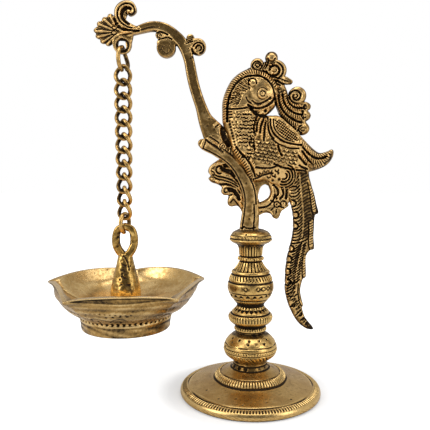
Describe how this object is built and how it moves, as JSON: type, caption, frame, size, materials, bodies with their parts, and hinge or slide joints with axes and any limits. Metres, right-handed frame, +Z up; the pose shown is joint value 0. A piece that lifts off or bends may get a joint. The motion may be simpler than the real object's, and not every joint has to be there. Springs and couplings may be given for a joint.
{
  "type": "hanging oil lamp",
  "caption": "Cast brass lamp on a stand: a peacock and a curved arm on a turned pillar carry a cornered oil pan that hangs on a chain.",
  "frame": {"origin": "centre of the foot's flat underside", "axes": "+Z up, the arm and the pan towards -X, the peacock's tail towards +X, its flank towards -Y"},
  "size_m": [0.1929, 0.1073, 0.2574],
  "materials": {
    "polished_brass": "aged cast brass, brushed bright on the open faces",
    "chased_brass": "antique brass, chased, with dark patina in the recesses",
    "chain_brass": "darkened brass wire",
    "plain_brass": "plain turned rod"
  },
  "bodies": {
    "stand": {"foot": "polished_brass", "lower_knop": "chased_brass", "ribbed_disc": "chased_brass", "vase": "chased_brass", "tie_rod": "plain_brass", "lamp_arm": "chased_brass", "leaf_scroll": "chased_brass", "flower_bracket": "chased_brass", "peacock": "chased_brass", "peacock_tail": "chased_brass"},
    "top_ring": {"top_ring": "chain_brass"},
    "chain_link_01": {"chain_link_01": "chain_brass"},
    "chain_link_02": {"chain_link_02": "chain_brass"},
    "chain_link_03": {"chain_link_03": "chain_brass"},
    "chain_link_04": {"chain_link_04": "chain_brass"},
    "chain_link_05": {"chain_link_05": "chain_brass"},
    "chain_link_06": {"chain_link_06": "chain_brass"},
    "chain_link_07": {"chain_link_07": "chain_brass"},
    "chain_link_08": {"chain_link_08": "chain_brass"},
    "chain_link_09": {"chain_link_09": "chain_brass"},
    "chain_link_10": {"chain_link_10": "chain_brass"},
    "chain_link_11": {"chain_link_11": "chain_brass"},
    "bottom_ring": {"bottom_ring": "chain_brass"},
    "lamp_pan": {"lamp_pan": "polished_brass", "pan_stem": "chased_brass"}
  },
  "joints": [
    {"name": "top_ring_swing", "type": "hinge", "parent": "stand", "child": "top_ring", "pos_m": [-0.0832, 0, 0.22525], "axis": [1, 0, 0], "range_deg": [-22, 22]},
    {"name": "link_01_swing", "type": "hinge", "parent": "top_ring", "child": "chain_link_01", "pos_m": [-0.0832, 0, 0.21335], "axis": [0, 1, 0], "range_deg": [-6, 22]},
    {"name": "link_02_swing", "type": "hinge", "parent": "chain_link_01", "child": "chain_link_02", "pos_m": [-0.0832, 0, 0.20622], "axis": [-1, 0, 0], "range_deg": [-20, 20]},
    {"name": "link_03_swing", "type": "hinge", "parent": "chain_link_02", "child": "chain_link_03", "pos_m": [-0.0832, 0, 0.19753], "axis": [0, -1, 0], "range_deg": [-20, 7]},
    {"name": "link_04_swing", "type": "hinge", "parent": "chain_link_03", "child": "chain_link_04", "pos_m": [-0.0832, 0, 0.18882], "axis": [1, 0, 0], "range_deg": [-20, 20]},
    {"name": "link_05_swing", "type": "hinge", "parent": "chain_link_04", "child": "chain_link_05", "pos_m": [-0.0832, 0, 0.18013], "axis": [0, 1, 0], "range_deg": [-8, 20]},
    {"name": "link_06_swing", "type": "hinge", "parent": "chain_link_05", "child": "chain_link_06", "pos_m": [-0.0832, 0, 0.17142], "axis": [-1, 0, 0], "range_deg": [-20, 20]},
    {"name": "link_07_swing", "type": "hinge", "parent": "chain_link_06", "child": "chain_link_07", "pos_m": [-0.0832, 0, 0.16273], "axis": [0, -1, 0], "range_deg": [-20, 9]},
    {"name": "link_08_swing", "type": "hinge", "parent": "chain_link_07", "child": "chain_link_08", "pos_m": [-0.0832, 0, 0.15402], "axis": [1, 0, 0], "range_deg": [-20, 20]},
    {"name": "link_09_swing", "type": "hinge", "parent": "chain_link_08", "child": "chain_link_09", "pos_m": [-0.0832, 0, 0.14533], "axis": [0, 1, 0], "range_deg": [-11, 20]},
    {"name": "link_10_swing", "type": "hinge", "parent": "chain_link_09", "child": "chain_link_10", "pos_m": [-0.0832, 0, 0.13662], "axis": [-1, 0, 0], "range_deg": [-20, 20]},
    {"name": "link_11_swing", "type": "hinge", "parent": "chain_link_10", "child": "chain_link_11", "pos_m": [-0.0832, 0, 0.12793], "axis": [0, -1, 0], "range_deg": [-20, 14]},
    {"name": "bottom_ring_swing", "type": "hinge", "parent": "chain_link_11", "child": "bottom_ring", "pos_m": [-0.0832, 0, 0.1177], "axis": [1, 0, 0], "range_deg": [-22, 22]},
    {"name": "pan_swing", "type": "hinge", "parent": "bottom_ring", "child": "lamp_pan", "pos_m": [-0.0832, 0, 0.1084], "axis": [0, 1, 0], "range_deg": [-20, 20]}
  ]
}
